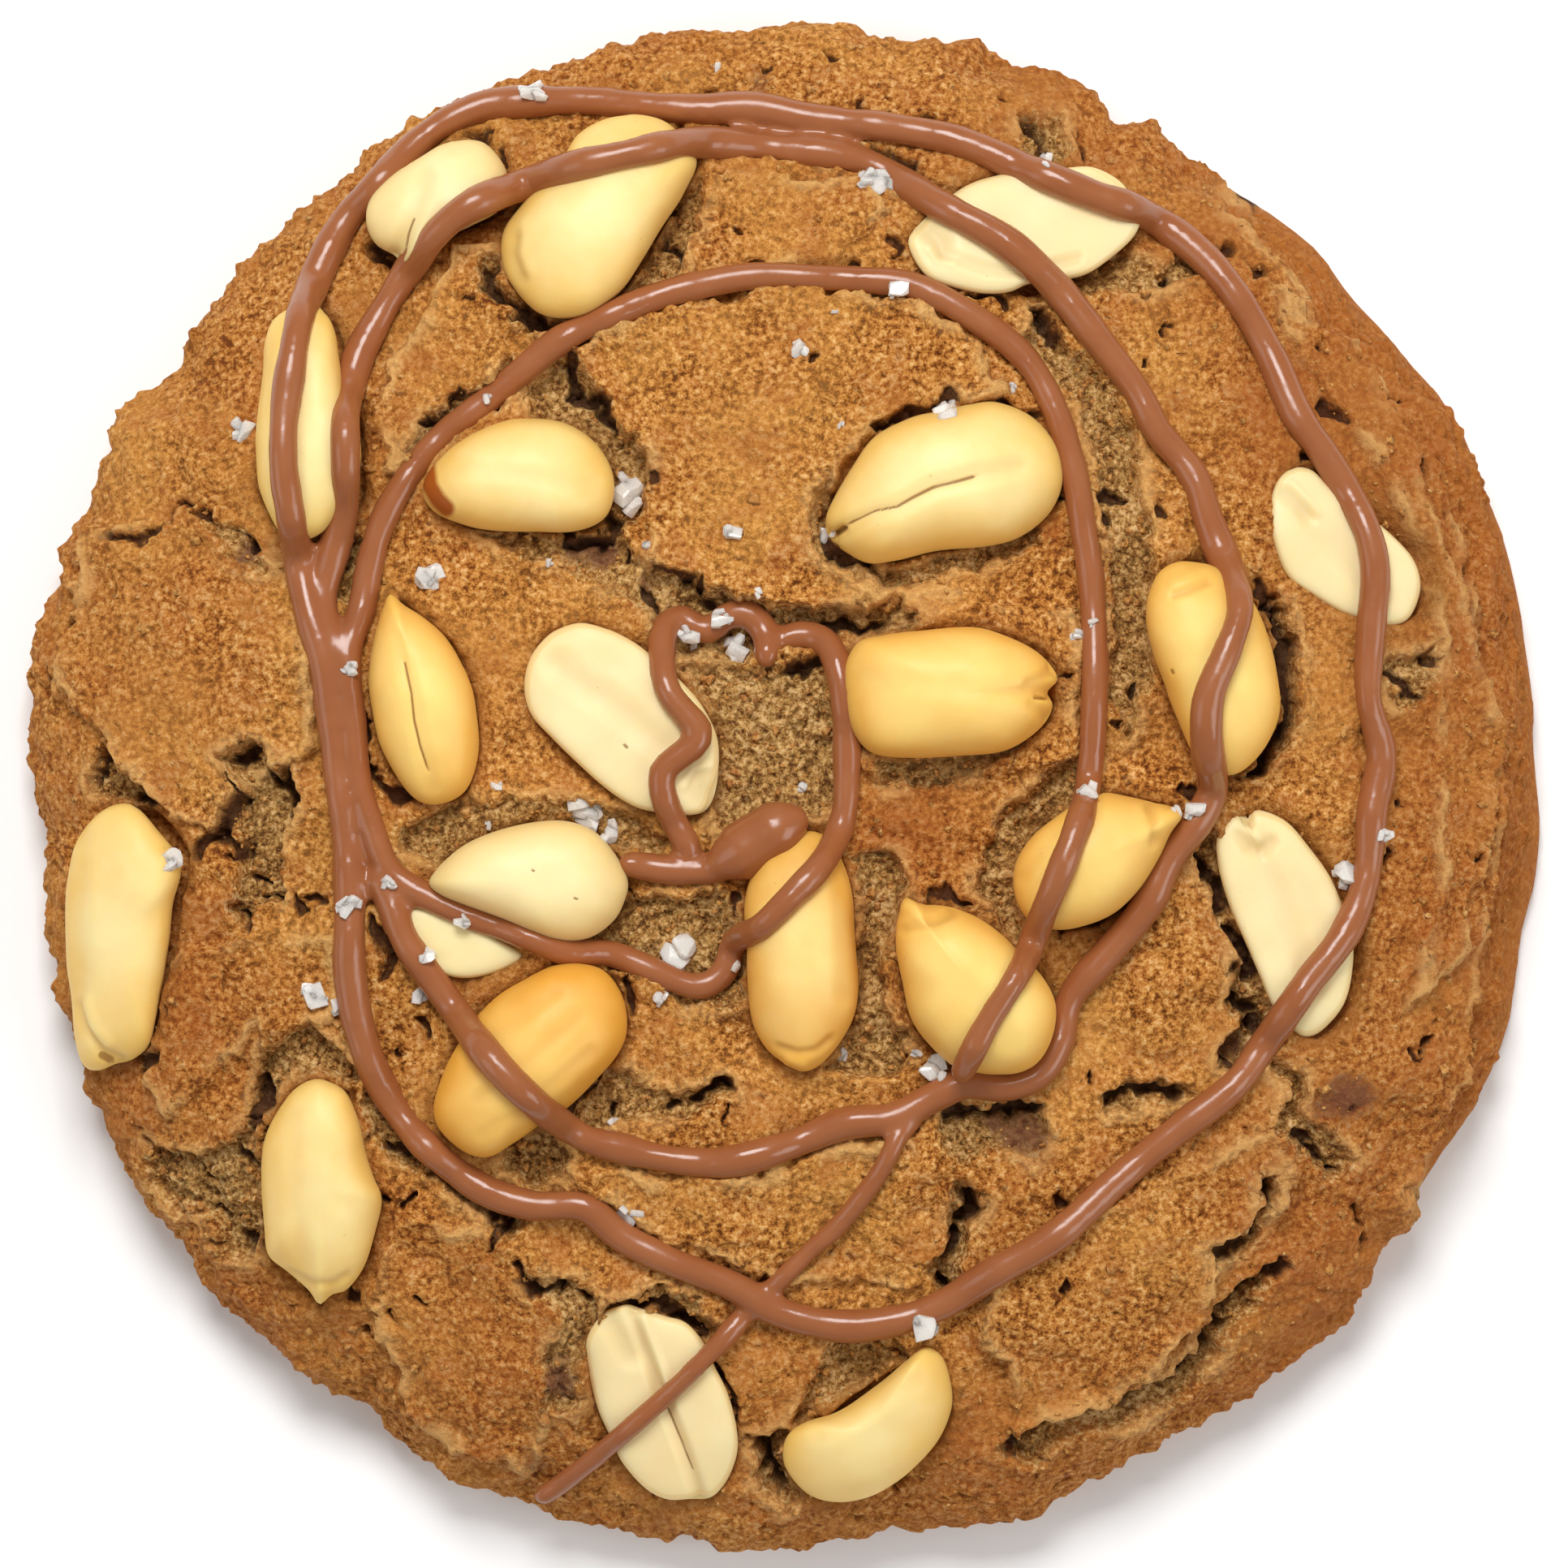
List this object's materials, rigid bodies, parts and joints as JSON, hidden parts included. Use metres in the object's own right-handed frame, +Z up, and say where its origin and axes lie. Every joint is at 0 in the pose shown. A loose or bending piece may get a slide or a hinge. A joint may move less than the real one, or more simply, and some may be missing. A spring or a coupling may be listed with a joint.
{
  "type": "peanut butter cookie",
  "caption": "Round thick cookie with a crackled top, whole and split peanuts set in it, looped milk chocolate drizzle and salt flakes.",
  "frame": {"origin": "centre of the cookie's outer box at its flat base, where it rests on a surface", "axes": "+Z up through the thickness, +Y towards the top of the reference view, +X to its right"},
  "size_m": [0.11, 0.1098, 0.0226],
  "materials": {
    "dough": "matte baked dough, golden brown",
    "peanut": "satin roasted peanut kernel, pale yellow",
    "milk_chocolate": "glossy milk chocolate",
    "salt": "translucent white salt crystal"
  },
  "bodies": {
    "root": {"cookie": "dough", "peanut_01": "peanut", "peanut_02": "peanut", "peanut_03": "peanut", "peanut_04": "peanut", "peanut_05": "peanut", "peanut_06": "peanut", "peanut_07": "peanut", "peanut_08": "peanut", "peanut_09": "peanut", "peanut_10": "peanut", "peanut_11": "peanut", "peanut_12": "peanut", "peanut_13": "peanut", "peanut_14": "peanut", "peanut_15": "peanut", "peanut_16": "peanut", "peanut_17": "peanut", "peanut_18": "peanut", "peanut_19": "peanut", "peanut_20": "peanut", "peanut_21": "peanut", "peanut_22": "peanut"}
  },
  "joints": []
}
